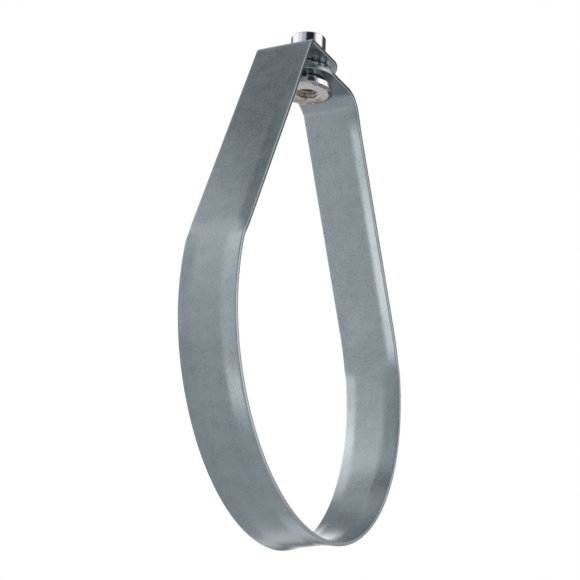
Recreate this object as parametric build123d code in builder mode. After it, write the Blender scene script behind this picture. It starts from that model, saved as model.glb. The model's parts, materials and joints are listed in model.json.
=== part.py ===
"""Swivel ring hanger for a nominal 6 inch steel pipe, hung from a half inch threaded rod.

One strip of galvanised sheet steel is bent round the pipe and up into two legs, whose flat tabs lie
one above the other. A turned swivel nut stands through both tabs. Its collar is caught between them
and its flange hangs under the lower one. The origin is the pipe's centre, the pipe lies along Y and
the rod comes down from above along Z.
"""
from build123d import *
import os
from math import cos, radians, sin, tan

# Strip, all sizes in millimetres and degrees
strip_width = 29.0
strip_thickness = 2.0

# Ring that holds the pipe
ring_inner_radius = 85.0
leg_step = 0.6  # how much further out than the ring's seat the legs stand
upper_leg_lean = 25.5  # of the leg that ends in the upper tab, from upright
lower_leg_lean = 26.8  # of the leg that ends in the lower tab, from upright

# Edges turned away from the pipe round the ring, and the front edge of each leg turned inwards
lip_bend_length = 2.4  # of the sheet's middle, across the strip
ring_back_lip_width = 7.8
ring_front_lip_width = 10.0
ring_lip_turn = 8.0
leg_lip_width = 6.9
leg_lip_turn = 8.0
upper_leg_lip_start = 17.0  # angle above the pipe's middle at which the ring's lips end
lower_leg_lip_start = 11.5
lip_change_turn = 2.0  # of the ring, in which its lips flatten out
shoulder_sections = 5  # between the ring's lips and a straight leg
lip_fade_length = 18.0  # where a leg lip flattens out
upper_plain_leg_length = 20.0  # flat strip below the bend to the upper tab
lower_plain_leg_length = 4.0

# Tabs at the top
upper_tab_top = 151.1
tab_gap = 4.8
upper_bend_inner_radius = 2.5
lower_bend_inner_radius = 11.3

# Swivel nut
rod_bore_radius = 5.35  # inside the thread of a half inch rod
rod_mouth_chamfer = 0.9
shank_radius = 8.5
shank_above_tab = 14.5
shank_chamfer = 0.6
shank_hole_clearance = 0.5
collar_radius = 11.2
collar_chamfer = 0.7
collar_clearance = 0.3
flange_radius = 12.5
flange_drop = 3.6  # below the lower tab
flange_edge_height = 2.7
flange_taper_height = 0.9
flange_foot_radius = 10.4

# Worked out from the sizes above
lower_tab_top = upper_tab_top - strip_thickness - tab_gap
half_width = strip_width / 2
leg_inner_distance = ring_inner_radius + leg_step
leg_outer_distance = leg_inner_distance + strip_thickness
tab_hole_radius = shank_radius + shank_hole_clearance


def cross_plane(side, angle, radius, distance=0):
    """Plane across the strip at an angle above the pipe's middle, then a distance straight up from there.

    side is 1 on the right and -1 on the left. Local x points away from the pipe and local y along it.
    """
    away = Vector(side * cos(radians(angle)), 0, sin(radians(angle)))
    upwards = Vector(-side * sin(radians(angle)), 0, cos(radians(angle)))
    return Plane(origin=away * radius + upwards * distance, x_dir=away, z_dir=upwards * side)


def leg_plane(side, lean, distance):
    """Plane across a leg, at a distance up it from where it leaves the ring."""
    return cross_plane(side, lean, leg_inner_distance, distance)


def half_face(depth, edge, lip_width, turn):
    """One face of the strip from its middle out to an edge: flat, then a bend and a flat lip.

    edge is 1 for the back edge and -1 for the front one. A positive turn leads away from the pipe,
    and with no turn the face stays flat.
    """
    bend_start = half_width - lip_width
    flat = Line((depth, 0), (depth, edge * bend_start))
    if turn:
        centre_depth = strip_thickness / 2 + lip_bend_length / radians(turn)
        bend = JernArc(flat @ 1, flat % 1, radius=abs(centre_depth - depth), arc_size=-edge * turn)
    else:
        bend = Line(flat @ 1, (depth, edge * (bend_start + lip_bend_length)))
    lip = Line(bend @ 1, (bend @ 1) + (bend % 1) * (lip_width - lip_bend_length))
    return lip @ 1


def strip_section(plane, back_lip_width, back_turn, front_lip_width, front_turn):
    """The strip cut across on a plane, as a face. All sections have the same edges, so that any two join."""
    with BuildLine(plane) as outline:
        for edge, lip_width, turn in ((1, back_lip_width, back_turn), (-1, front_lip_width, front_turn)):
            inner_end = half_face(0, edge, lip_width, turn)
            outer_end = half_face(strip_thickness, edge, lip_width, turn)
            Line(inner_end, outer_end)
    return Face(outline.wire())


def ring_section(plane):
    """Round the ring both lips lead away from the pipe."""
    return strip_section(plane, ring_back_lip_width, ring_lip_turn, ring_front_lip_width, ring_lip_turn)


def leg_section(plane, lip_share=1):
    """Up a leg the front lip leads inwards, by a share of its full turn, and the back edge is flat."""
    return strip_section(plane, leg_lip_width, 0, leg_lip_width, -leg_lip_turn * lip_share)


def leg_corner(lean, tab_top):
    """Distance up the leg at which its outer face would meet the tab's top face."""
    return (tab_top - leg_outer_distance * sin(radians(lean))) / cos(radians(lean))


def straight_leg(lean, tab_top, bend_inner_radius):
    """Length of the leg from the ring to the start of its bend."""
    bend_outer_radius = bend_inner_radius + strip_thickness
    return leg_corner(lean, tab_top) - bend_outer_radius * tan(radians(90 - lean) / 2)


def bent_top(side, lean, tab_top, bend_inner_radius):
    """Adds the bend above a leg and its tab, with a round end about the rod's axis."""
    leg_end = leg_plane(side, lean, straight_leg(lean, tab_top, bend_inner_radius))
    with BuildSketch(Plane.XZ) as side_view:
        with BuildLine():
            starts = []
            for depth in (0, strip_thickness):
                start = leg_end.origin + leg_end.x_dir * depth
                bend = JernArc(
                    (start.X, start.Z),
                    tangent=(side * leg_end.z_dir.X, side * leg_end.z_dir.Z),
                    radius=bend_inner_radius + depth,
                    arc_size=side * (90 - lean),
                )
                Line(bend @ 1, (0, (bend @ 1).Y))
                starts.append(bend @ 0)
            Line(starts[0], starts[1])
            Line((0, tab_top - strip_thickness), (0, tab_top))
        make_face()
    extrude(side_view.sketch.face(), amount=half_width, both=True)
    with BuildSketch(Plane.XY.offset(tab_top)) as round_end:
        Circle(half_width)
    extrude(round_end.sketch.face(), amount=-strip_thickness)


def shoulder(side, lean, lip_start):
    """Adds the bent strip between the ring's lips and a straight leg, along which the leg's lip forms."""
    ring_end = ring_section(cross_plane(side, lip_start, ring_inner_radius))
    first_angle = lip_start + lip_change_turn
    sections = []
    for section in range(shoulder_sections):
        share = section / (shoulder_sections - 1)
        angle = first_angle + share * (lean - first_angle)
        radius = ring_inner_radius + leg_step * (1 + share) / 2
        sections.append(leg_section(cross_plane(side, angle, radius), (section + 1) / shoulder_sections))
    loft([ring_end, sections[0]], ruled=True)
    loft(sections)


def leg(side, lean, tab_top, bend_inner_radius, plain_length):
    """Adds a straight leg: its lip runs and fades, and flat strip leads up to the bend."""
    top = straight_leg(lean, tab_top, bend_inner_radius)
    fade_end = top - plain_length
    fade_start = fade_end - lip_fade_length
    up_leg = leg_plane(side, lean, 0).z_dir * side
    plain_start = leg_section(leg_plane(side, lean, fade_end), 0)
    extrude(leg_section(leg_plane(side, lean, 0)), amount=fade_start, dir=up_leg)
    loft([leg_section(leg_plane(side, lean, fade_start)), plain_start], ruled=True)
    extrude(plain_start, amount=plain_length, dir=up_leg)


with BuildPart() as ring_band:
    ring_start = ring_section(cross_plane(1, lower_leg_lip_start, ring_inner_radius))
    revolve(ring_start, axis=Axis.Y, revolution_arc=180 + lower_leg_lip_start + upper_leg_lip_start)
    shoulder(1, lower_leg_lean, lower_leg_lip_start)
    shoulder(-1, upper_leg_lean, upper_leg_lip_start)
    leg(1, lower_leg_lean, lower_tab_top, lower_bend_inner_radius, lower_plain_leg_length)
    leg(-1, upper_leg_lean, upper_tab_top, upper_bend_inner_radius, upper_plain_leg_length)
    bent_top(1, lower_leg_lean, lower_tab_top, lower_bend_inner_radius)
    bent_top(-1, upper_leg_lean, upper_tab_top, upper_bend_inner_radius)
    for tab_top in (upper_tab_top, lower_tab_top):
        with Locations((0, 0, tab_top)):
            Hole(radius=tab_hole_radius, depth=strip_thickness)
ring_band.part.label = "ring_band"

with BuildPart() as swivel_nut:
    nut_top = upper_tab_top + shank_above_tab
    collar_top = upper_tab_top - strip_thickness - collar_clearance
    collar_bottom = lower_tab_top + collar_clearance
    flange_top = lower_tab_top - strip_thickness - flange_drop
    flange_edge_bottom = flange_top - flange_edge_height
    flange_foot = flange_edge_bottom - flange_taper_height
    with BuildSketch(Plane.XZ):
        with BuildLine():
            Polyline(
                (rod_bore_radius, flange_foot + rod_mouth_chamfer),
                (rod_bore_radius + rod_mouth_chamfer, flange_foot),
                (flange_foot_radius, flange_foot),
                (flange_radius, flange_edge_bottom),
                (flange_radius, flange_top),
                (shank_radius, flange_top),
                (shank_radius, collar_bottom),
                (collar_radius, collar_bottom),
                (collar_radius, collar_top - collar_chamfer),
                (collar_radius - collar_chamfer, collar_top),
                (shank_radius, collar_top),
                (shank_radius, nut_top - shank_chamfer),
                (shank_radius - shank_chamfer, nut_top),
                (rod_bore_radius + rod_mouth_chamfer, nut_top),
                (rod_bore_radius, nut_top - rod_mouth_chamfer),
                close=True,
            )
        make_face()
    revolve(axis=Axis.Z)
swivel_nut.part.label = "swivel_nut"

os.makedirs("parts", exist_ok=True)
export_step(ring_band.part, "parts/ring_band.step")
export_step(swivel_nut.part, "parts/swivel_nut.step")
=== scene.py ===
"""Dresses a swivel ring pipe hanger: a bent galvanised band and the plated nut that turns in its tabs."""
import json
import math
from collections import namedtuple

import bmesh
import bpy
import numpy as np
from bpy.props import FloatProperty, FloatVectorProperty, PointerProperty
from mathutils import Matrix, Vector


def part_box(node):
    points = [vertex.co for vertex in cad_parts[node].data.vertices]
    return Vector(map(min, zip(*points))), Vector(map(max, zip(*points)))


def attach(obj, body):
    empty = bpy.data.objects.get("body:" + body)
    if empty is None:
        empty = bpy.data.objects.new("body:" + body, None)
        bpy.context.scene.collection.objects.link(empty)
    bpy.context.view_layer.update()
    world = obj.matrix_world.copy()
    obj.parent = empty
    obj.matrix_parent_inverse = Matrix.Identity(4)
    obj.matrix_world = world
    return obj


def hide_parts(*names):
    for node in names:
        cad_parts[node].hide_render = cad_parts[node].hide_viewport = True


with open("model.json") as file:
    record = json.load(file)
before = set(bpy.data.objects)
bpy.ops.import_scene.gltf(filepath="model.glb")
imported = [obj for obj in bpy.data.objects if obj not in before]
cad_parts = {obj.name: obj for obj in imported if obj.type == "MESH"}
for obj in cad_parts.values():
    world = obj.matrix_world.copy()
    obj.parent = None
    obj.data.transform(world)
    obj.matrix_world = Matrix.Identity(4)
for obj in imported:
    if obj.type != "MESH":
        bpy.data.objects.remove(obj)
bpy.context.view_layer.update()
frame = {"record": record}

bl_info = {
    "name": "Swivel Ring Pipe Hanger",
    "version": (1, 0, 0),
    "blender": (4, 5, 0),
    "location": "3D View > Sidebar > Hanger",
    "description": "Builds a pipe hanger's bent band and swivel nut, with their finishes and a plain studio",
    "category": "Add Mesh",
}

BAND_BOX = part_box("ring_band")
NUT_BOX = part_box("swivel_nut")
MOUNTS = {mount["name"]: mount for mount in frame["record"]["mounts"]}

MM = 0.001
DEGREE = math.pi / 180
MERGE_DISTANCE = 0.002 * MM

# How finely the meshes are divided
ACROSS_POINTS = 25  # from the strip's centre line to an edge
EDGE_TURNS = np.radians((22.5, 45.0, 67.5, 90.0))  # from a face to the points round its arris
BEND_FINENESS = 3  # rows round a bend to one along the straight
SPOKE_POINTS = 13  # from a tab's hole to its rim
TAB_SIDE_STEPS = 10  # along each straight side of a tab
TAB_ROUND_STEPS = 48  # round the end of a tab
CURVE_POINTS = 5  # round a softened corner of the nut
NUT_COLUMNS = 288  # round the nut
THREAD_ROWS = 10  # to each turn of the thread
STAGE_COLUMNS = 96  # round the tent and the floor
TENT_ROWS = 60  # from the tent's foot to its top

LEVEL_LENGTH = 30 * MM  # at each end of the strip, where the sheet's waver fades out
KNURLS = 72  # grooves round the nut
CONE_KNURL = 0.25  # depth of the grooves on the flange's cone, to the collar's
THREAD_FLAT = 0.1  # share of the thread's saw wave cut off at its crest, and at its root
TENT_FOOT = math.radians(-87)  # rise at which the tent's cloth begins
FLOOR_RINGS = (0.5, 1.5, 4.0, 12.0)  # radii of the floor's rings of points, in metres

# Level directions from the nut's axis, as parts along X and Y
STAINED_SIDE = (0.892, 0.452)
# Side of the flange's cone that is darkened as painted shade
CONE_SHADE_SIDE = (0.452, -0.892)

NutHeights = namedtuple("NutHeights", "flange_low flange_top tab_underside collar_bottom collar_top")


def length(name, metres, description):
    """A size in metres."""
    return FloatProperty(
        name=name, description=description, default=metres, soft_min=0.0, precision=5, unit="LENGTH"
    )


def angle(name, degrees, description):
    """An angle, typed in degrees and kept in radians."""
    return FloatProperty(name=name, description=description, default=math.radians(degrees), subtype="ANGLE")


def share(name, value, description):
    """A plain number, such as a strength or a share of one."""
    return FloatProperty(name=name, description=description, default=value, soft_min=0.0, subtype="FACTOR")


def colour(name, red, green, blue, description):
    """A colour as linear red, green and blue."""
    return FloatVectorProperty(
        name=name,
        description=description,
        default=(red, green, blue, 1.0),
        size=4,
        min=0.0,
        max=1.0,
        subtype="COLOR",
    )


class BandSizes(bpy.types.PropertyGroup):
    """Sizes of the bent strip."""

    width: length("Strip width", 0.029, "Across the strip, along the pipe")
    thickness: length("Thickness", 0.002, "Of the sheet")
    edge_radius: length("Edge radius", 0.0004, "Rounding left on the sheared edges")
    ring_radius: length("Ring radius", MOUNTS["pipe_seat"]["dims"]["r_mm"] / 1000, "Inside the ring")
    leg_step: length("Leg step", 0.0006, "How much further out than the ring the legs stand")
    upper_lean: angle("Upper leg lean", 25.5, "From upright, of the leg with the upper tab")
    lower_lean: angle("Lower leg lean", 26.8, "From upright, of the leg with the lower tab")
    lip_bend: length("Lip bend", 0.0034, "Across the strip, the length of the soft bend beside each lip")
    ring_turn: angle("Ring lip turn", 8.0, "Away from the pipe, of both edges round the ring")
    ring_back_lip: length("Ring back lip", 0.0078, "Width of the ring's back lip with its bend")
    ring_front_lip: length("Ring front lip", 0.010, "Width of the ring's front lip with its bend")
    leg_turn: angle("Leg lip turn", 8.0, "Inwards, of the front edge of each leg")
    leg_lip: length("Leg lip", 0.0069, "Width of a leg's front lip with its bend")
    upper_lip_start: angle("Upper side lip end", 17.0, "Above the pipe's middle, where the ring's lips end")
    lower_lip_start: angle("Lower side lip end", 11.5, "Above the pipe's middle, where the ring's lips end")
    lip_change: angle("Lip change", 5.0, "Of the ring, in which its lips flatten out")
    step_spread: angle("Step spread", 14.0, "How far below the ends of the ring's lips the leg step begins")
    upper_plain: length("Upper plain length", 0.020, "Flat strip below the bend to the upper tab")
    upper_fade: length("Upper fade length", 0.018, "Where the lip below the upper tab flattens out")
    lower_plain: length("Lower plain length", 0.0005, "Flat strip below the bend to the lower tab")
    lower_fade: length("Lower fade length", 0.010, "Where the lip below the lower tab flattens out")
    upper_tab_top: length("Upper tab top", BAND_BOX[1].z, "Height of the tab's top over the pipe's middle")
    tab_gap: length("Tab gap", 0.0048, "Between the two tabs")
    upper_bend: length("Upper bend", 0.0025, "Inner radius of the bend beside the upper tab")
    lower_bend: length("Lower bend", 0.0113, "Inner radius of the bend beside the lower tab")
    hole_radius: length("Hole radius", 0.009, "Of the hole in each tab")
    sway: length("Sway", 0.00005, "How far the sheet's faces waver from true")
    mesh_step: length("Mesh step", 0.0015, "Between the mesh's rows along the strip")


class NutSizes(bpy.types.PropertyGroup):
    """Sizes of the turned nut."""

    bore_radius: length("Bore radius", MOUNTS["rod_thread"]["dims"]["r_mm"] / 1000, "To the thread's crests")
    mouth_chamfer: length("Mouth chamfer", 0.0009, "At both ends of the bore")
    thread_pitch: length("Thread pitch", 0.0254 / 13, "From turn to turn")
    thread_depth: length("Thread depth", 0.00095, "From crest to root")
    shank_radius: length("Shank radius", 0.0085, "Through the tabs")
    top: length("Top", NUT_BOX[1].z, "Height of the nut's top over the pipe's middle")
    shank_chamfer: length("Shank chamfer", 0.0006, "Round the nut's top")
    collar_radius: length("Collar radius", 0.0112, "Of the knurled collar between the tabs")
    collar_chamfer: length("Collar chamfer", 0.0007, "Round the collar's top")
    collar_clearance: length("Collar clearance", 0.0003, "Between the collar and each tab")
    flange_radius: length("Flange radius", NUT_BOX[1].x, "Of the flange under the lower tab")
    flange_drop: length("Flange drop", 0.0036, "From the lower tab to the flange")
    flange_edge: length("Flange edge", 0.0027, "Height of the flange's upright edge")
    foot_radius: length("Foot radius", 0.0104, "Of the flat underside")
    foot: length("Foot", NUT_BOX[0].z, "Height of the underside over the pipe's middle")
    knurl_depth: length("Knurl depth", 0.0004, "Of the grooves round the collar")
    arris: length("Arris", 0.00018, "How far from each corner its rounding starts")


class Finishes(bpy.types.PropertyGroup):
    """Colours of the finishes."""

    zinc_dark: colour("Dark zinc", 0.335, 0.39, 0.40, "The duller grains of the galvanised sheet")
    zinc_light: colour("Light zinc", 0.47, 0.528, 0.535, "The brighter grains of the galvanised sheet")
    bare_edge: colour("Bare edge", 0.56, 0.58, 0.58, "The rubbed arrises of the strip")
    plating: colour("Plating", 0.87, 0.86, 0.87, "Bright plating of the nut")
    # Colour of the real soiling in the knurling, and of the painted shade round the neck, on the collar and
    # on one side of the flange's cone
    grime_and_shade: colour("Grime", 0.05, 0.045, 0.04, "Dark dirt in the knurling and round the neck")
    chalk: colour("Chalky bloom", 0.56, 0.53, 0.49, "Dull off-white bloom on the nut's underside and thread")
    rust: colour("Rust", 0.20, 0.10, 0.05, "Brown stain on the nut's underside")
    floor: colour("Floor", 0.82, 0.82, 0.82, "The studio's floor")


class StudioSizes(bpy.types.PropertyGroup):
    """Places of the camera, the floor and the light tent, and the strengths of its light."""

    heading: angle("Camera heading", 63.1256, "Of the line of sight, from +Y towards +X")
    rise: angle("Camera rise", 21.9879, "Of the line of sight, above level")
    roll: angle("Camera roll", 2.3216, "Of the camera about its line of sight")
    distance: length("Camera distance", 1.0692, "From the pipe's middle, along the line of sight")
    aim_right: length("Aim right", -0.00286, "How far right of the pipe's middle the picture's centre lies")
    aim_up: length("Aim up", 0.03101, "How far over the pipe's middle the picture's centre lies")
    lens: length("Lens", 0.14405, "Focal length on a 36 mm sensor")
    floor_height: length("Floor height", -0.62, "Of the floor, under the camera")
    tent_radius: length("Tent radius", 0.6, "Of the round light tent about the hanger")
    tent_height: length("Tent height", 0.03, "Of the tent's centre over the pipe's middle")
    left_light: share("Left light", 2.0, "Radiance of the tent's large lit panel on the left")
    right_light: share("Right light", 1.15, "Radiance of the tent's lit panel on the right")
    cloth: share("Tent cloth", 0.48, "Radiance of the tent's plain cloth")
    surround: share("Surround", 1.0, "Radiance of the room round the tent")


def ramp(value, start, end):
    """0 before start, 1 past end, and the cubic 3 t t - 2 t t t between them."""
    part = np.clip((value - start) / (end - start), 0.0, 1.0)
    return part * part * (3.0 - 2.0 * part)


def unit(turn):
    """Directions in the upright plane of the ring, at angles from +X towards +Z."""
    return np.stack((np.cos(turn), np.sin(turn)), axis=-1)


def spaced(start, end, step):
    """Evenly spaced values from start to end, about a step apart."""
    return np.linspace(start, end, max(2, math.ceil(abs(end - start) / step) + 1))


def grid_faces(rows, columns, rows_closed, columns_closed):
    """Corner numbers of the quads of a grid whose points are numbered row by row."""
    row = np.arange(rows if rows_closed else rows - 1)
    column = np.arange(columns if columns_closed else columns - 1)
    row, column = np.meshgrid(row, column, indexing="ij")
    next_row = (row + 1) % rows
    next_column = (column + 1) % columns
    corners = (
        row * columns + column,
        row * columns + next_column,
        next_row * columns + next_column,
        next_row * columns + column,
    )
    return np.stack(corners, axis=-1)


def add_piece(name, points, faces, place_name, places, body, node, material):
    """Makes a closed smooth mesh of points and quads, puts it under its body's empty and hides its CAD node.

    Points that no face uses are dropped, points that lie on each other become one, and the faces are
    turned outwards. places gives each point's place on the surface, for the material to read.
    """
    used, faces = np.unique(faces, return_inverse=True)
    faces = faces.reshape(-1, 4)
    mesh = bpy.data.meshes.new(name)
    mesh.from_pydata(points[used].tolist(), [], faces.tolist())
    place = mesh.attributes.new(place_name, "FLOAT_VECTOR", "POINT")
    place.data.foreach_set("vector", places[used].astype(np.float32).ravel())
    whole = bmesh.new()
    whole.from_mesh(mesh)
    bmesh.ops.remove_doubles(whole, verts=whole.verts, dist=MERGE_DISTANCE)
    bmesh.ops.recalc_face_normals(whole, faces=whole.faces)
    whole.to_mesh(mesh)
    whole.free()
    mesh.shade_smooth()
    mesh.materials.append(material)
    piece = bpy.data.objects.new(name, mesh)
    bpy.context.scene.collection.objects.link(piece)
    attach(piece, body)
    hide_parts(node)


class Strip:
    """The strip's course: a line of points on its inner face, and how its lips stand at each."""

    def __init__(self, sizes):
        self.sizes = sizes
        self.half_width = sizes.width / 2
        self.leg_radius = sizes.ring_radius + sizes.leg_step
        lower_tab_top = sizes.upper_tab_top - sizes.thickness - sizes.tab_gap
        left = self.leg(
            -1, sizes.upper_lean, sizes.upper_tab_top, sizes.upper_bend, sizes.upper_plain, sizes.upper_fade
        )
        right = self.leg(
            1, sizes.lower_lean, lower_tab_top, sizes.lower_bend, sizes.lower_plain, sizes.lower_fade
        )
        self.points, self.turns, self.leg_lips, self.ring_lips = (
            np.concatenate((a[::-1], b, c)) for a, b, c in zip(left, self.ring(), right)
        )
        steps = np.linalg.norm(np.diff(self.points, axis=0), axis=1)
        self.along = np.concatenate(((0.0,), np.cumsum(steps)))

    def leg(self, side, lean, tab_top, bend_radius, plain_length, fade_length):
        """From the ring up a leg and round the bend to its tab.

        The leg is a line at right angles to its normal. The bend is centre + radius * (cos, sin) of the
        normal's angle, which turns on until the strip is level.
        """
        s = self.sizes
        normal = lean if side > 0 else math.pi - lean
        away = unit(normal)
        upwards = np.array((-side * math.sin(lean), math.cos(lean)))
        corner = (tab_top - (self.leg_radius + s.thickness) * math.sin(lean)) / math.cos(lean)
        top = corner - (bend_radius + s.thickness) * math.tan((math.pi / 2 - lean) / 2)
        distance = spaced(0.0, top, s.mesh_step)
        straight = away * self.leg_radius + upwards * distance[:, None]
        fade_end = top - plain_length
        leg_lip = 1.0 - ramp(distance, fade_end - fade_length, fade_end)
        bend_step = s.mesh_step / BEND_FINENESS / (bend_radius + s.thickness)
        bend_turn = normal + side * spaced(0.0, math.pi / 2 - lean, bend_step)[1:]
        centre = straight[-1] - away * bend_radius
        points = np.concatenate((straight, centre + bend_radius * unit(bend_turn)))
        turns = np.concatenate((np.full(len(straight), normal), bend_turn))
        leg_lips = np.concatenate((leg_lip, np.zeros(len(bend_turn))))
        full_turn = 2 * math.pi if side > 0 else 0.0
        return points, turns + full_turn, leg_lips, np.zeros(len(points))

    def ring(self):
        """Round the ring: radius * (cos, sin) of an angle that runs from one leg down and up to the other.

        The radius grows by the leg step on each side, from a little below where the ring's lips end to
        where the leg begins. Above their end the ring's lips give way to the leg's.
        """
        s = self.sizes
        turn = spaced(math.pi - s.upper_lean, 2 * math.pi + s.lower_lean, s.mesh_step / s.ring_radius)[1:-1]
        above_left = math.pi - turn
        above_right = turn - 2 * math.pi
        stepped = ramp(above_left, s.upper_lip_start - s.step_spread, s.upper_lean)
        stepped = stepped + ramp(above_right, s.lower_lip_start - s.step_spread, s.lower_lean)
        ring_lip = 1.0 - ramp(above_left, s.upper_lip_start, s.upper_lip_start + s.lip_change)
        ring_lip = ring_lip - ramp(above_right, s.lower_lip_start, s.lower_lip_start + s.lip_change)
        leg_lip = ramp(above_left, s.upper_lip_start + s.lip_change / 2, s.upper_lean)
        leg_lip = leg_lip + ramp(above_right, s.lower_lip_start, s.lower_lip_start + 2 * s.lip_change)
        radius = s.ring_radius + s.leg_step * stepped
        return unit(turn) * radius[:, None], turn, leg_lip, ring_lip

    def half_section(self, across, lip_turn, lip_width):
        """Middle line of half the section, from the strip's centre line out towards an edge.

        Its slope is the lip's turn times a ramp of the distance across, and its place is the running sum
        of the slope's cosine, across, and sine, away from the pipe.
        """
        start = (self.half_width - lip_width)[:, None]
        slope = lip_turn[:, None] * ramp(across[None, :], start, start + self.sizes.lip_bend)
        step = np.diff(across)
        sides = []
        for part in (np.cos(slope), np.sin(slope)):
            run = np.cumsum(step * (part[:, 1:] + part[:, :-1]) / 2, axis=1)
            sides.append(np.concatenate((np.zeros((len(slope), 1)), run), axis=1))
        return sides[0], sides[1], slope

    def edge(self, y, depth, slope, side):
        """Points round one edge, from the inner face to the outer one.

        They are two quarter rounds of the edge's radius, with a flat between them.
        """
        radius = self.sizes.edge_radius
        reach = self.sizes.thickness / 2 - radius
        normal_y, normal_depth = -side * np.sin(slope), np.cos(slope)
        out_y, out_depth = side * np.cos(slope), np.sin(slope)
        points = []
        for face, turns in ((-1, EDGE_TURNS), (1, EDGE_TURNS[::-1])):
            along_normal = face * (reach + radius * np.cos(turns))
            outwards = radius * np.sin(turns)
            place_y = y + normal_y * along_normal + out_y * outwards
            place_depth = depth + normal_depth * along_normal + out_depth * outwards
            points.append(np.stack((place_y, place_depth), axis=-1))
        return np.concatenate(points, axis=1)

    def sections(self, across):
        """Closed outlines across the strip as (y, depth away from the pipe), one at each point of its course.

        Both faces lie half the thickness from the middle line, along its normal.
        """
        s = self.sizes
        half = s.thickness / 2
        back_turn = s.ring_turn * self.ring_lips
        front_turn = back_turn - s.leg_turn * self.leg_lips
        back_width = np.full(len(self.along), s.ring_back_lip)
        front_width = s.leg_lip + (s.ring_front_lip - s.leg_lip) * self.ring_lips
        halves = []
        for side, turn, lip_width in ((-1, front_turn, front_width), (1, back_turn, back_width)):
            run, rise, slope = self.half_section(across, turn, lip_width)
            halves.append((side, side * run, rise + half, slope))
        faces = []
        for face in (-half, half):
            front, back = (
                np.stack((y - face * side * np.sin(slope), rise + face * np.cos(slope)), axis=-1)
                for side, y, rise, slope in halves
            )
            faces.append(np.concatenate((front[:, :0:-1], back), axis=1))
        front_edge, back_edge = (
            self.edge(y[:, -1:], rise[:, -1:], slope[:, -1:], side) for side, y, rise, slope in halves
        )
        return np.concatenate((faces[0], back_edge, faces[1][:, ::-1], front_edge[:, ::-1]), axis=1)

    def waver(self, along, across):
        """A slow uneven wave over the sheet: sines of its place along and across, fading at the edges.

        The numbers beside the places are radians to a metre.
        """
        wave = np.sin(along * 75.0 + 0.7) * np.sin(across * 130.0 + along * 18.0)
        wave = wave + 0.6 * np.sin(along * 167.0 + across * 95.0 + 2.1)
        fade = 1.0 - ramp(np.abs(across), 0.6 * self.half_width, self.half_width)
        return self.sizes.sway * wave * fade


def tab_surface(strip, side, end_x, top, across, along_end):
    """A tab with its round end and hole, as a grid of closed outlines that stand round the hole like spokes.

    A spoke runs from the hole's rim to the tab's outline and back underneath, and both rims are quarter
    rounds. Along the end line the spokes end at the strip's own section points and have no outer rim.
    """
    s = strip.sizes
    radius = s.edge_radius
    inset = strip.half_width - radius
    line_y = np.concatenate((-across[:0:-1], across))
    straight = np.linspace(0.0, 1.0, TAB_SIDE_STEPS + 1)[1:]
    round_turn = np.linspace(0.0, math.pi, TAB_ROUND_STEPS + 1)[1:]
    rim_x = np.concatenate(
        (
            np.full(len(line_y), end_x),
            end_x * (1.0 - straight),
            -side * inset * np.sin(round_turn),
            end_x * straight[:-1],
        )
    )
    rim_y = np.concatenate(
        (
            line_y,
            np.full(len(straight), inset),
            inset * np.cos(round_turn),
            np.full(len(straight) - 1, -inset),
        )
    )
    rim = np.stack((rim_x, rim_y), axis=-1)
    spoke = rim / np.linalg.norm(rim, axis=1)[:, None]
    sideways = np.stack((np.zeros(len(rim_y)), np.sign(rim_y)), axis=-1)
    in_round = side * rim_x < 0
    outwards = np.where(in_round[:, None], spoke, sideways)
    hole = spoke * (s.hole_radius + radius)
    shares = np.linspace(0.0, 1.0, SPOKE_POINTS)[None, :, None]
    flat = hole[:, None] + (rim - hole)[:, None] * shares
    half = s.thickness / 2
    arrises = []
    for base, direction in ((rim, outwards), (hole, -spoke)):
        for turns, face in ((EDGE_TURNS, 1), (EDGE_TURNS[::-1], -1)):
            xy = base[:, None] + direction[:, None] * (radius * np.sin(turns))[None, :, None]
            height = np.broadcast_to(face * (half - radius + radius * np.cos(turns)), xy.shape[:2])
            arrises.append(np.concatenate((xy, height[..., None]), axis=-1))
    rim_upper, rim_lower, hole_upper, hole_lower = arrises
    upper = np.concatenate((flat, np.full((*flat.shape[:2], 1), half)), axis=-1)
    lower = np.concatenate((flat[:, ::-1], np.full((*flat.shape[:2], 1), -half)), axis=-1)
    loops = np.concatenate(
        (upper, rim_upper, rim_lower, lower, hole_lower[:, ::-1], hole_upper[:, ::-1]), axis=1
    )
    faces = grid_faces(*loops.shape[:2], True, True)
    first_rim = SPOKE_POINTS - 1
    rim_columns = slice(first_rim, first_rim + 2 * len(EDGE_TURNS) + 1)
    keep = np.ones(faces.shape[:2], bool)
    keep[: len(line_y) - 1, rim_columns] = False
    x, y, height = loops.reshape(-1, 3).T
    points = np.stack((x, y, height + top - half), axis=-1)
    places = np.stack((along_end + end_x - x, y, height + half), axis=-1)
    return points, faces[keep], places


def band_surface(sizes):
    """The whole band: its sections along the course, and a tab at each end whose end line they share."""
    strip = Strip(sizes)
    across = np.linspace(0.0, strip.half_width - sizes.edge_radius, ACROSS_POINTS)
    outline = strip.sections(across)
    y, depth = outline[..., 0], outline[..., 1]
    whole_length = strip.along[-1]
    along = np.broadcast_to(strip.along[:, None], y.shape)
    wavering = ramp(along, 0.0, LEVEL_LENGTH) * ramp(whole_length - along, 0.0, LEVEL_LENGTH)
    moved = depth + wavering * strip.waver(along, y)
    out = unit(strip.turns)
    x = strip.points[:, :1] + out[:, :1] * moved
    z = strip.points[:, 1:] + out[:, 1:] * moved
    points = [np.stack((x, y, z), axis=-1).reshape(-1, 3)]
    places = [np.stack((along, y, depth), axis=-1).reshape(-1, 3)]
    faces = [grid_faces(*y.shape, False, True).reshape(-1, 4)]
    for side, station, along_end in ((-1, 0, 0.0), (1, -1, whole_length)):
        end_x, end_z = strip.points[station]
        made, quads, place = tab_surface(strip, side, end_x, end_z + sizes.thickness, across, along_end)
        faces.append(quads + sum(len(each) for each in points))
        points.append(made)
        places.append(place)
    return np.concatenate(points), np.concatenate(faces), np.concatenate(places)


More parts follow.
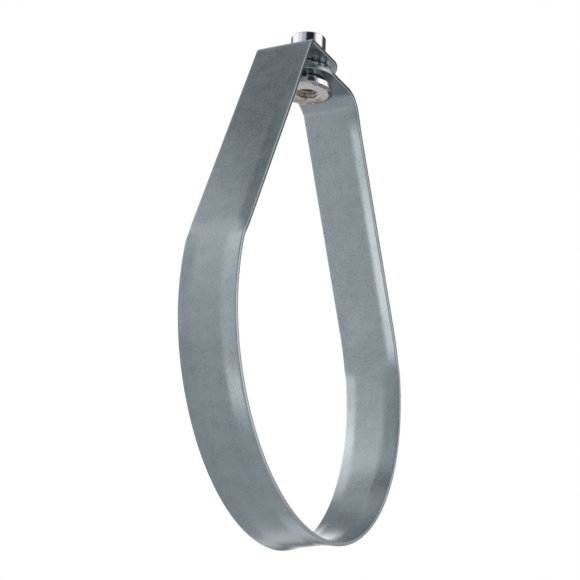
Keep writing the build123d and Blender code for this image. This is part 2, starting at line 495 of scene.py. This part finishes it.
def softened(corners, cut):
    """A closed outline with a quadratic curve in place of each corner.

    The curve is start (1 - t) (1 - t) + corner 2 t (1 - t) + end t t. Its start and end lie on the two
    lines that meet at the corner, at the distance cut from it.
    """
    before = np.roll(corners, 1, axis=0) - corners
    after = np.roll(corners, -1, axis=0) - corners
    start = corners + before / np.linalg.norm(before, axis=1)[:, None] * cut
    end = corners + after / np.linalg.norm(after, axis=1)[:, None] * cut
    t = np.linspace(0.0, 1.0, CURVE_POINTS)[None, :, None]
    curve = start[:, None] * (1 - t) ** 2 + corners[:, None] * 2 * t * (1 - t) + end[:, None] * t**2
    return curve.reshape(-1, 2)


def saw(phase):
    """A wave that falls evenly from 1 to 0 and rises back over each whole step of its phase."""
    return np.abs(2.0 * (phase - np.floor(phase)) - 1.0)


def nut_heights(sizes, band):
    """Heights of the nut's shoulders and of the lower tab's underside, over the pipe's middle."""
    lower_tab_top = band.upper_tab_top - band.thickness - band.tab_gap
    flange_top = lower_tab_top - band.thickness - sizes.flange_drop
    return NutHeights(
        flange_low=flange_top - sizes.flange_edge,
        flange_top=flange_top,
        tab_underside=lower_tab_top - band.thickness,
        collar_bottom=lower_tab_top + sizes.collar_clearance,
        collar_top=band.upper_tab_top - band.thickness - sizes.collar_clearance,
    )


def nut_surface(sizes, band):
    """The nut: its outline turned about the rod's axis, with knurling outside and a thread inside.

    The radius of a knurled row, on the collar and on the flange's cone, falls by the knurl's depth times
    a saw wave of the angle. The bore's radius is the larger of its mouth's cone and the thread, a
    clipped saw wave of the height less one pitch for each turn, and opens out at both ends.
    """
    heights = nut_heights(sizes, band)
    mouth = sizes.bore_radius + sizes.mouth_chamfer
    corners = np.array(
        (
            (mouth, sizes.foot),
            (sizes.foot_radius, sizes.foot),
            (sizes.flange_radius, heights.flange_low),
            (sizes.flange_radius, heights.flange_top),
            (sizes.shank_radius, heights.flange_top),
            (sizes.shank_radius, heights.collar_bottom),
            (sizes.collar_radius, heights.collar_bottom),
            (sizes.collar_radius, heights.collar_top - sizes.collar_chamfer),
            (sizes.collar_radius - sizes.collar_chamfer, heights.collar_top),
            (sizes.shank_radius, heights.collar_top),
            (sizes.shank_radius, sizes.top - sizes.shank_chamfer),
            (sizes.shank_radius - sizes.shank_chamfer, sizes.top),
            (mouth, sizes.top),
        )
    )
    outer_radius, outer_height = softened(corners, sizes.arris)[CURVE_POINTS - 1 : 1 - CURVE_POINTS].T
    turn = np.linspace(0.0, 2 * math.pi, NUT_COLUMNS, endpoint=False)[:, None]
    turns = turn / (2 * math.pi)
    on_cone = ramp(outer_radius, sizes.foot_radius, sizes.flange_radius)
    on_cone = on_cone * ramp(outer_height, heights.flange_low + 2 * sizes.arris, heights.flange_low)
    on_collar = ramp(outer_radius, sizes.collar_radius - sizes.collar_chamfer, sizes.collar_radius)
    above_neck = outer_height > heights.collar_bottom - sizes.arris
    groove = np.where(above_neck, on_collar, on_cone) * saw(turns * KNURLS)
    depth = np.where(above_neck, 1.0, CONE_KNURL) * sizes.knurl_depth
    outer_radius = outer_radius - depth * groove
    outer_height = np.broadcast_to(outer_height, outer_radius.shape)
    bore_height = spaced(sizes.top, sizes.foot, sizes.thread_pitch / THREAD_ROWS)
    thread = saw(bore_height / sizes.thread_pitch - turns)
    thread = np.clip((thread - THREAD_FLAT) / (1.0 - 2 * THREAD_FLAT), 0.0, 1.0)
    from_end = np.minimum(sizes.top - bore_height, bore_height - sizes.foot)
    bore_radius = np.maximum(sizes.bore_radius + sizes.thread_depth * thread, mouth - from_end)
    bore_radius = np.minimum(bore_radius, mouth + 2 * from_end)
    bore_height = np.broadcast_to(bore_height, bore_radius.shape)
    radius = np.concatenate((outer_radius, bore_radius), axis=1)
    height = np.concatenate((outer_height, bore_height), axis=1)
    places = np.stack((radius, height, np.concatenate((groove, thread), axis=1)), axis=-1)
    points = np.stack((radius * np.cos(turn), radius * np.sin(turn), height), axis=-1)
    faces = grid_faces(*radius.shape, True, True)
    return points.reshape(-1, 3), faces.reshape(-1, 4), places.reshape(-1, 3)


class Socket:
    """A node's output in an expression. Arithmetic on it adds Math nodes to its tree."""

    def __init__(self, shader, output):
        self.shader = shader
        self.output = output

    def math(self, operation, *values):
        """The outcome of a Math node on these values."""
        return self.shader.node("ShaderNodeMath", {"operation": operation}, dict(enumerate(values)))

    def __add__(self, other):
        return self.math("ADD", self, other)

    def __radd__(self, other):
        return self.math("ADD", other, self)

    def __sub__(self, other):
        return self.math("SUBTRACT", self, other)

    def __rsub__(self, other):
        return self.math("SUBTRACT", other, self)

    def __mul__(self, other):
        return self.math("MULTIPLY", self, other)

    def __rmul__(self, other):
        return self.math("MULTIPLY", other, self)

    def __truediv__(self, other):
        return self.math("DIVIDE", self, other)

    def __abs__(self):
        return self.math("ABSOLUTE", self)

    def ramp(self, start, end):
        """0 before start, 1 past end, and smooth between them."""
        settings = {"interpolation_type": "SMOOTHSTEP"}
        values = {"Value": self, "From Min": start, "From Max": end, "To Min": 0.0, "To Max": 1.0}
        if start > end:
            values.update({"From Min": end, "From Max": start, "To Min": 1.0, "To Max": 0.0})
        return self.shader.node("ShaderNodeMapRange", settings, values)

    def window(self, start, end, soft):
        """1 between start and end and 0 outside, with edges that are soft to both sides."""
        return self.ramp(start - soft, start + soft) * self.ramp(end + soft, end - soft)


class Shader:
    """A node tree that is written as expressions."""

    def __init__(self, owner):
        owner.use_nodes = True
        self.tree = owner.node_tree
        self.tree.nodes.clear()

    def node(self, kind, settings, values, output=0):
        """Adds a node, sets its settings and then its inputs, and returns one of its outputs."""
        made = self.tree.nodes.new(kind)
        for name, value in settings.items():
            setattr(made, name, value)
        for key, value in values.items():
            if isinstance(value, Socket):
                self.tree.links.new(value.output, made.inputs[key])
            else:
                made.inputs[key].default_value = value
        return Socket(self, made.outputs[output]) if len(made.outputs) else None

    def noise(self, vector, scale, detail, roughness):
        """Cloudy noise from 0 to 1 about a half, with scale features to each unit of the vector."""
        values = {"Vector": vector, "Scale": scale, "Detail": detail, "Roughness": roughness}
        return self.node("ShaderNodeTexNoise", {}, values)

    def mix(self, first, second, factor):
        """A colour between two others."""
        settings = {"data_type": "RGBA"}
        return self.node("ShaderNodeMix", settings, {"Factor": factor, 6: first, 7: second}, output=2)

    def vector(self, x, y, z):
        """A vector from its three numbers."""
        return self.node("ShaderNodeCombineXYZ", {}, {"X": x, "Y": y, "Z": z})

    def parts(self, vector):
        """The three numbers of a vector."""
        made = self.node("ShaderNodeSeparateXYZ", {}, {"Vector": vector}).output.node
        return [Socket(self, made.outputs[axis]) for axis in "XYZ"]

    def place(self, name):
        """The three numbers that the piece's mesh holds for each of its points under this name."""
        settings = {"attribute_type": "GEOMETRY", "attribute_name": name}
        return self.parts(self.node("ShaderNodeAttribute", settings, {}, output="Vector"))

    def object_place(self):
        """Each point's place in its object's own frame."""
        return self.node("ShaderNodeTexCoord", {}, {}, output="Object")

    def bump(self, height, distance, strength):
        """The surface's direction, tilted as if it stood higher by the height times the distance."""
        values = {"Height": height, "Distance": distance, "Strength": strength}
        return self.node("ShaderNodeBump", {}, values)

    def surface(self, values):
        """Ends a material in a Principled shader."""
        made = self.node("ShaderNodeBsdfPrincipled", {}, values)
        self.node("ShaderNodeOutputMaterial", {}, {"Surface": made})


def galvanised_sheet(finishes, sizes):
    """Satin zinc: fine mottled grain, slow cloudy patches, faint streaks along the strip, rubbed arrises.

    The tone is a sum of the three noises, a little lighter on the strip's inner face.
    """
    material = bpy.data.materials.new("galvanised_sheet")
    shader = Shader(material)
    here = shader.object_place()
    along, across, depth = shader.place("strip_place")
    grain = shader.noise(here, scale=1150.0, detail=2.0, roughness=0.6)
    patches = shader.noise(here, scale=130.0, detail=3.0, roughness=0.55)
    stretched = shader.vector(along * 40.0, across * 300.0, depth * 100.0)
    streaks = shader.noise(stretched, scale=1.0, detail=3.0, roughness=0.6)
    inner = depth.ramp(0.6 * sizes.thickness, 0.4 * sizes.thickness)
    tone = (grain - 0.5) + (patches - 0.5) * 0.6 + (streaks - 0.5) * 0.2 + 0.45 + inner * 0.15
    base = shader.mix(tuple(finishes.zinc_dark), tuple(finishes.zinc_light), tone.ramp(0.0, 1.0))
    rubbed = abs(across).ramp(sizes.width / 2 - 0.7 * MM, sizes.width / 2 - 0.1 * MM)
    shader.surface(
        {
            "Base Color": shader.mix(base, tuple(finishes.bare_edge), rubbed * 0.6),
            "Metallic": 1.0,
            "Roughness": 0.29 + (patches - 0.5) * 0.06 + (grain - 0.5) * 0.14,
            "Normal": shader.bump(grain * 0.9 + streaks * 0.1, distance=0.04 * MM, strength=0.4),
        }
    )
    return material


def nut_plating(finishes, sizes, band):
    """Bright plating, darkened in places, and a chalky bloom with a rust stain on the underside.

    Dirt lies in the grooves. Painted shade darkens one side of the flange's cone, the neck under the lower
    tab and patches on the collar between the tabs. The bloom covers the rest of the underside and the
    lower end of the thread.
    """
    material = bpy.data.materials.new("nut_plating")
    shader = Shader(material)
    heights = nut_heights(sizes, band)
    here = shader.object_place()
    x, y = shader.parts(here)[:2]
    radius, height, groove = shader.place("nut_place")
    cloud = shader.noise(here, scale=420.0, detail=4.0, roughness=0.6)
    speck = shader.noise(here, scale=1500.0, detail=3.0, roughness=0.6)

    inside = radius.ramp(sizes.shank_radius - 0.9 * MM, sizes.shank_radius - 1.3 * MM)
    # Painted shade: one side of the flange's cone is darkened, in speckles
    cone_shade_side = x * CONE_SHADE_SIDE[0] + y * CONE_SHADE_SIDE[1] + (speck - 0.5) * 3 * MM
    cone = height.ramp(heights.flange_low + 0.3 * MM, heights.flange_low - 0.1 * MM)
    cone = cone * (radius + (cloud - 0.5) * 1.2 * MM).ramp(sizes.foot_radius, sizes.foot_radius + 0.5 * MM)
    cone = cone * cone_shade_side.ramp(0.0, 5 * MM)
    # Painted shade round the neck, between the flange and the lower tab
    neck = height.ramp(heights.flange_top - 0.2 * MM, heights.flange_top + 0.4 * MM) * (1.0 - inside)
    neck = neck * height.ramp(heights.tab_underside + 0.6 * MM, heights.tab_underside - 0.2 * MM)
    # Painted shade in patches on the collar, between the tabs
    collar = height.ramp(heights.collar_bottom - 1 * MM, heights.collar_bottom)
    collar = collar * radius.ramp(sizes.shank_radius + 0.5 * MM, sizes.shank_radius + 1 * MM)
    # Dirt in the grooves, less inside the bore; the painted shade is added to it below
    dirt_and_shade = groove.ramp(0.35, 0.95) * (0.3 + 0.6 * cloud) * (1.0 - 0.9 * inside)
    dirt_and_shade = dirt_and_shade + cone * speck.ramp(0.72, 0.42)
    dirt_and_shade = dirt_and_shade + neck * cloud.ramp(0.6, 0.5)
    dirt_and_shade = dirt_and_shade + collar * cloud.ramp(0.50, 0.46)
    dirt_and_shade = dirt_and_shade.ramp(0.0, 1.0)

    underside = height.ramp(heights.flange_low, sizes.foot + 0.3 * MM) * (1.0 - cone)
    lower_thread = inside * height.ramp(sizes.foot + 12 * MM, sizes.foot + 6 * MM)
    bloom = (underside + lower_thread).ramp(0.0, 1.0)
    stained = x * STAINED_SIDE[0] + y * STAINED_SIDE[1] + (cloud - 0.5) * 8 * MM
    stain = bloom * stained.ramp(1 * MM, 7 * MM) * cloud.ramp(0.35, 0.6)

    # Darkens the plating with the colour of the grooves' soiling and of the painted shade
    base = shader.mix(tuple(finishes.plating), tuple(finishes.grime_and_shade), dirt_and_shade * 0.85)
    chalk = shader.mix(tuple(finishes.chalk), tuple(finishes.plating), speck.ramp(0.5, 0.75))
    base = shader.mix(base, chalk, bloom * (0.75 + 0.25 * cloud))
    shader.surface(
        {
            "Base Color": shader.mix(base, tuple(finishes.rust), stain * 0.8),
            "Metallic": 1.0 - bloom * 0.85,
            "Roughness": 0.06 + bloom * 0.45 + dirt_and_shade * 0.2 + (cloud - 0.5) * 0.04,
            "Normal": shader.bump(speck + cloud, distance=0.05 * MM, strength=0.10),
        }
    )
    return material


def floor_paint(finishes):
    """Pale even floor with a faint cloudiness."""
    material = bpy.data.materials.new("floor_paint")
    shader = Shader(material)
    cloud = shader.noise(shader.object_place(), scale=3.0, detail=3.0, roughness=0.5)
    pale = tuple(finishes.floor)
    duller = tuple(0.97 * part for part in pale[:3]) + (1.0,)
    shader.surface({"Base Color": shader.mix(duller, pale, cloud), "Roughness": 0.7})
    return material


def compass(studio, turn):
    """A level direction, turned from the side on which the camera stands towards the picture's right."""
    towards = Vector((-math.sin(studio.heading), -math.cos(studio.heading), 0.0))
    right = Vector((math.cos(studio.heading), -math.sin(studio.heading), 0.0))
    return towards * math.cos(turn) + right * math.sin(turn)


def view_axes(studio):
    """The camera's right, up and backward directions, turned about the line of sight by the roll."""
    back = compass(studio, 0.0) * math.cos(studio.rise) - Vector((0.0, 0.0, math.sin(studio.rise)))
    right = compass(studio, math.pi / 2)
    up = back.cross(right)
    rolled_right = right * math.cos(studio.roll) + up * math.sin(studio.roll)
    rolled_up = up * math.cos(studio.roll) - right * math.sin(studio.roll)
    return rolled_right, rolled_up, back


def add_camera(studio):
    """Puts the camera at the photograph's place, looking up at the hanger from below its ring."""
    right, up, back = view_axes(studio)
    eye = right * studio.aim_right + up * studio.aim_up + back * studio.distance
    data = bpy.data.cameras.new("camera")
    data.lens = studio.lens / MM
    data.clip_start = 0.05
    data.clip_end = 20.0
    camera = bpy.data.objects.new("camera", data)
    turned = Matrix((right, up, back)).transposed().to_4x4()
    camera.matrix_world = Matrix.Translation(eye) @ turned
    bpy.context.scene.collection.objects.link(camera)
    bpy.context.scene.camera = camera


def tent_panels(studio):
    """The tent's panels: (turn from, to), (rise from, to), softness of the edges in degrees, and radiance.

    turn is the angle from straight behind the hanger, positive towards the left of the picture, and rise
    the angle above level, both as seen from the tent's centre. Each panel covers the ones before it.
    """
    left = studio.left_light
    right = studio.right_light
    return (
        ((-200, 200), (58, 120), 7, 0.60),  # top of the tent
        ((96, 134), (20, 58), 7, 0.80),  # paler cloth beside the left light
        ((126, 160), (-5, 26), 7, 0.62),  # and further round towards the camera
        ((-26, 109), (-36, 39), 4, left),  # left light
        ((-26, 109), (39, 55), 5, 0.55 * left),  # its weaker upper part
        ((103, 122), (-13, 42), 5, 0.70),  # its fading rim on the camera's side
        ((-34, 53), (33, 60), 4, 0.28),  # grey cloth over its far half
        ((16, 50), (26, 40), 4, 0.10),  # dark slot under that
        ((-38, 40), (-40, -21), 4, 0.90),  # dimmer foot of the left light, straight behind
        ((-38, 40), (-22, -7), 4, 0.0),  # black strip that the tabs' undersides mirror
        ((79, 136), (61, 72), 4, 0.07),  # dark strip that the upper tab's leg mirrors
        ((-130, -80), (-36, 56), 9, right),  # right light
        ((-72, -28), (22, 56), 8, 0.06),  # dark cloth beyond it
        ((-200, -142), (20, 60), 8, 0.02),  # dark cloth over the camera, to its right
        ((162, 200), (20, 60), 10, 0.02),  # and to its left
    )


def tent_cloth(studio):
    """White cloth with lit and dark panels, by the turn and rise of each of its places."""
    material = bpy.data.materials.new("tent_cloth")
    material.cycles.emission_sampling = "NONE"
    shader = Shader(material)
    x, y, z = shader.parts(shader.object_place())
    towards = compass(studio, 0.0)
    right = compass(studio, math.pi / 2)
    behind = -1.0 * (x * towards.x + y * towards.y)
    leftwards = -1.0 * (x * right.x + y * right.y)
    turn = leftwards.math("ARCTAN2", leftwards, behind) / DEGREE
    rise = z.math("ARCSINE", (z - studio.tent_height) / studio.tent_radius) / DEGREE
    radiance = studio.cloth
    for (turn_from, turn_to), (rise_from, rise_to), soft, strength in tent_panels(studio):
        inside = turn.window(turn_from, turn_to, soft) * rise.window(rise_from, rise_to, soft)
        radiance = radiance + inside * (strength - radiance)
    cool, warm = (0.95, 1.0, 1.07, 1.0), (1.04, 1.0, 1.02, 1.0)
    tint = shader.mix(cool, warm, radiance.ramp(0.2, 1.6))
    glow = shader.node("ShaderNodeVectorMath", {"operation": "SCALE"}, {0: tint, "Scale": radiance})
    shader.surface(
        {
            "Base Color": (0.0, 0.0, 0.0, 1.0),
            "Emission Color": glow,
            "Emission Strength": 1.0,
            "Specular IOR Level": 0.0,
        }
    )
    return material


def add_tent(studio):
    """A round light tent close about the hanger, which only gloss sees.

    Its points are centre + radius * (direction), for directions in even steps of turn and rise, with a
    small hole left straight below.
    """
    turn = np.linspace(0.0, 2 * math.pi, STAGE_COLUMNS, endpoint=False)[None, :]
    rise = np.linspace(TENT_FOOT, math.pi / 2, TENT_ROWS)[:, None]
    directions = (np.cos(rise) * np.cos(turn), np.cos(rise) * np.sin(turn), np.sin(rise) + 0 * turn)
    points = np.stack(directions, axis=-1) * studio.tent_radius + (0.0, 0.0, studio.tent_height)
    faces = grid_faces(*points.shape[:2], False, True)
    mesh = bpy.data.meshes.new("light_tent")
    mesh.from_pydata(points.reshape(-1, 3).tolist(), [], faces.reshape(-1, 4).tolist())
    mesh.materials.append(tent_cloth(studio))
    tent = bpy.data.objects.new("light_tent", mesh)
    tent.visible_camera = False
    tent.visible_diffuse = False
    tent.visible_shadow = False
    bpy.context.scene.collection.objects.link(tent)


def add_surround(studio):
    """A white background for the camera, and an even pale room for everything else."""
    world = bpy.data.worlds.new("studio")
    bpy.context.scene.world = world
    world.cycles.sampling_method = "NONE"
    shader = Shader(world)
    room_light = {"Color": (0.97, 0.985, 1.0, 1.0), "Strength": studio.surround}
    room = shader.node("ShaderNodeBackground", {}, room_light)
    seen = shader.node("ShaderNodeBackground", {}, {"Color": (1.0, 1.0, 1.0, 1.0), "Strength": 1.0})
    camera_ray = shader.node("ShaderNodeLightPath", {}, {}, output="Is Camera Ray")
    both = shader.node("ShaderNodeMixShader", {}, {0: camera_ray, 1: room, 2: seen})
    shader.node("ShaderNodeOutputWorld", {}, {"Surface": both})


def add_floor(studio, finishes):
    """A round floor: rings of points radius * (cos, sin) about the middle, which is one point."""
    radius = np.array(FLOOR_RINGS)[:, None]
    turn = np.linspace(0.0, 2 * math.pi, STAGE_COLUMNS, endpoint=False)[None, :]
    level = np.full((radius * turn).shape, studio.floor_height)
    rings = np.stack((radius * np.cos(turn), radius * np.sin(turn), level), axis=-1)
    points = np.concatenate((rings.reshape(-1, 3), ((0.0, 0.0, studio.floor_height),)))
    ring_faces = grid_faces(*level.shape, False, True).reshape(-1, 4)[:, ::-1]
    first = np.arange(turn.size)
    fan = np.stack((first, np.roll(first, -1), np.full(turn.size, len(points) - 1)), axis=-1)
    mesh = bpy.data.meshes.new("floor")
    mesh.from_pydata(points.tolist(), [], ring_faces.tolist() + fan.tolist())
    mesh.materials.append(floor_paint(finishes))
    floor = bpy.data.objects.new("floor", mesh)
    bpy.context.scene.collection.objects.link(floor)


class HANGER_OT_add_band(bpy.types.Operator):
    """Adds the bent strip: two tabs, two legs and the ring"""

    bl_idname = "hanger.add_band"
    bl_label = "Add Band"

    def execute(self, context):
        sizes = context.scene.hanger_band
        points, faces, places = band_surface(sizes)
        finish = galvanised_sheet(context.scene.hanger_finishes, sizes)
        add_piece(
            "bent_band", points, faces, "strip_place", places, "band", "ring_band", finish
        )
        return {"FINISHED"}


class HANGER_OT_add_nut(bpy.types.Operator):
    """Adds the turned nut: threaded bore, shank, knurled collar and flange"""

    bl_idname = "hanger.add_nut"
    bl_label = "Add Nut"

    def execute(self, context):
        sizes = context.scene.hanger_nut
        band = context.scene.hanger_band
        points, faces, places = nut_surface(sizes, band)
        finish = nut_plating(context.scene.hanger_finishes, sizes, band)
        add_piece("turned_nut", points, faces, "nut_place", places, "nut", "swivel_nut", finish)
        return {"FINISHED"}


class HANGER_OT_add_studio(bpy.types.Operator):
    """Adds the camera, the floor, the surround and the light tent"""

    bl_idname = "hanger.add_studio"
    bl_label = "Add Studio"

    def execute(self, context):
        studio = context.scene.hanger_studio
        add_camera(studio)
        add_floor(studio, context.scene.hanger_finishes)
        add_surround(studio)
        add_tent(studio)
        context.scene.view_settings.view_transform = "Standard"
        return {"FINISHED"}


class HANGER_PT_sidebar(bpy.types.Panel):
    """Lists the hanger's sizes, colours and steps"""

    bl_idname = "HANGER_PT_sidebar"
    bl_label = "Pipe Hanger"
    bl_space_type = "VIEW_3D"
    bl_region_type = "UI"
    bl_category = "Hanger"

    def draw(self, context):
        groups = (
            ("Band", "hanger_band", BandSizes, HANGER_OT_add_band),
            ("Nut", "hanger_nut", NutSizes, HANGER_OT_add_nut),
            ("Finishes", "hanger_finishes", Finishes, None),
            ("Studio", "hanger_studio", StudioSizes, HANGER_OT_add_studio),
        )
        for title, pointer, group, operator in groups:
            box = self.layout.box()
            box.label(text=title)
            for name in group.__annotations__:
                box.prop(getattr(context.scene, pointer), name)
            if operator:
                box.operator(operator.bl_idname)


CLASSES = (
    BandSizes,
    NutSizes,
    Finishes,
    StudioSizes,
    HANGER_OT_add_band,
    HANGER_OT_add_nut,
    HANGER_OT_add_studio,
    HANGER_PT_sidebar,
)
POINTERS = {
    "hanger_band": BandSizes,
    "hanger_nut": NutSizes,
    "hanger_finishes": Finishes,
    "hanger_studio": StudioSizes,
}


def register():
    for each in CLASSES:
        bpy.utils.register_class(each)
    for name, group in POINTERS.items():
        setattr(bpy.types.Scene, name, PointerProperty(type=group))


def unregister():
    for name in POINTERS:
        delattr(bpy.types.Scene, name)
    for each in reversed(CLASSES):
        bpy.utils.unregister_class(each)


def main():
    register()
    bpy.ops.hanger.add_band()
    bpy.ops.hanger.add_nut()
    bpy.ops.hanger.add_studio()


if __name__ == "__main__":
    main()
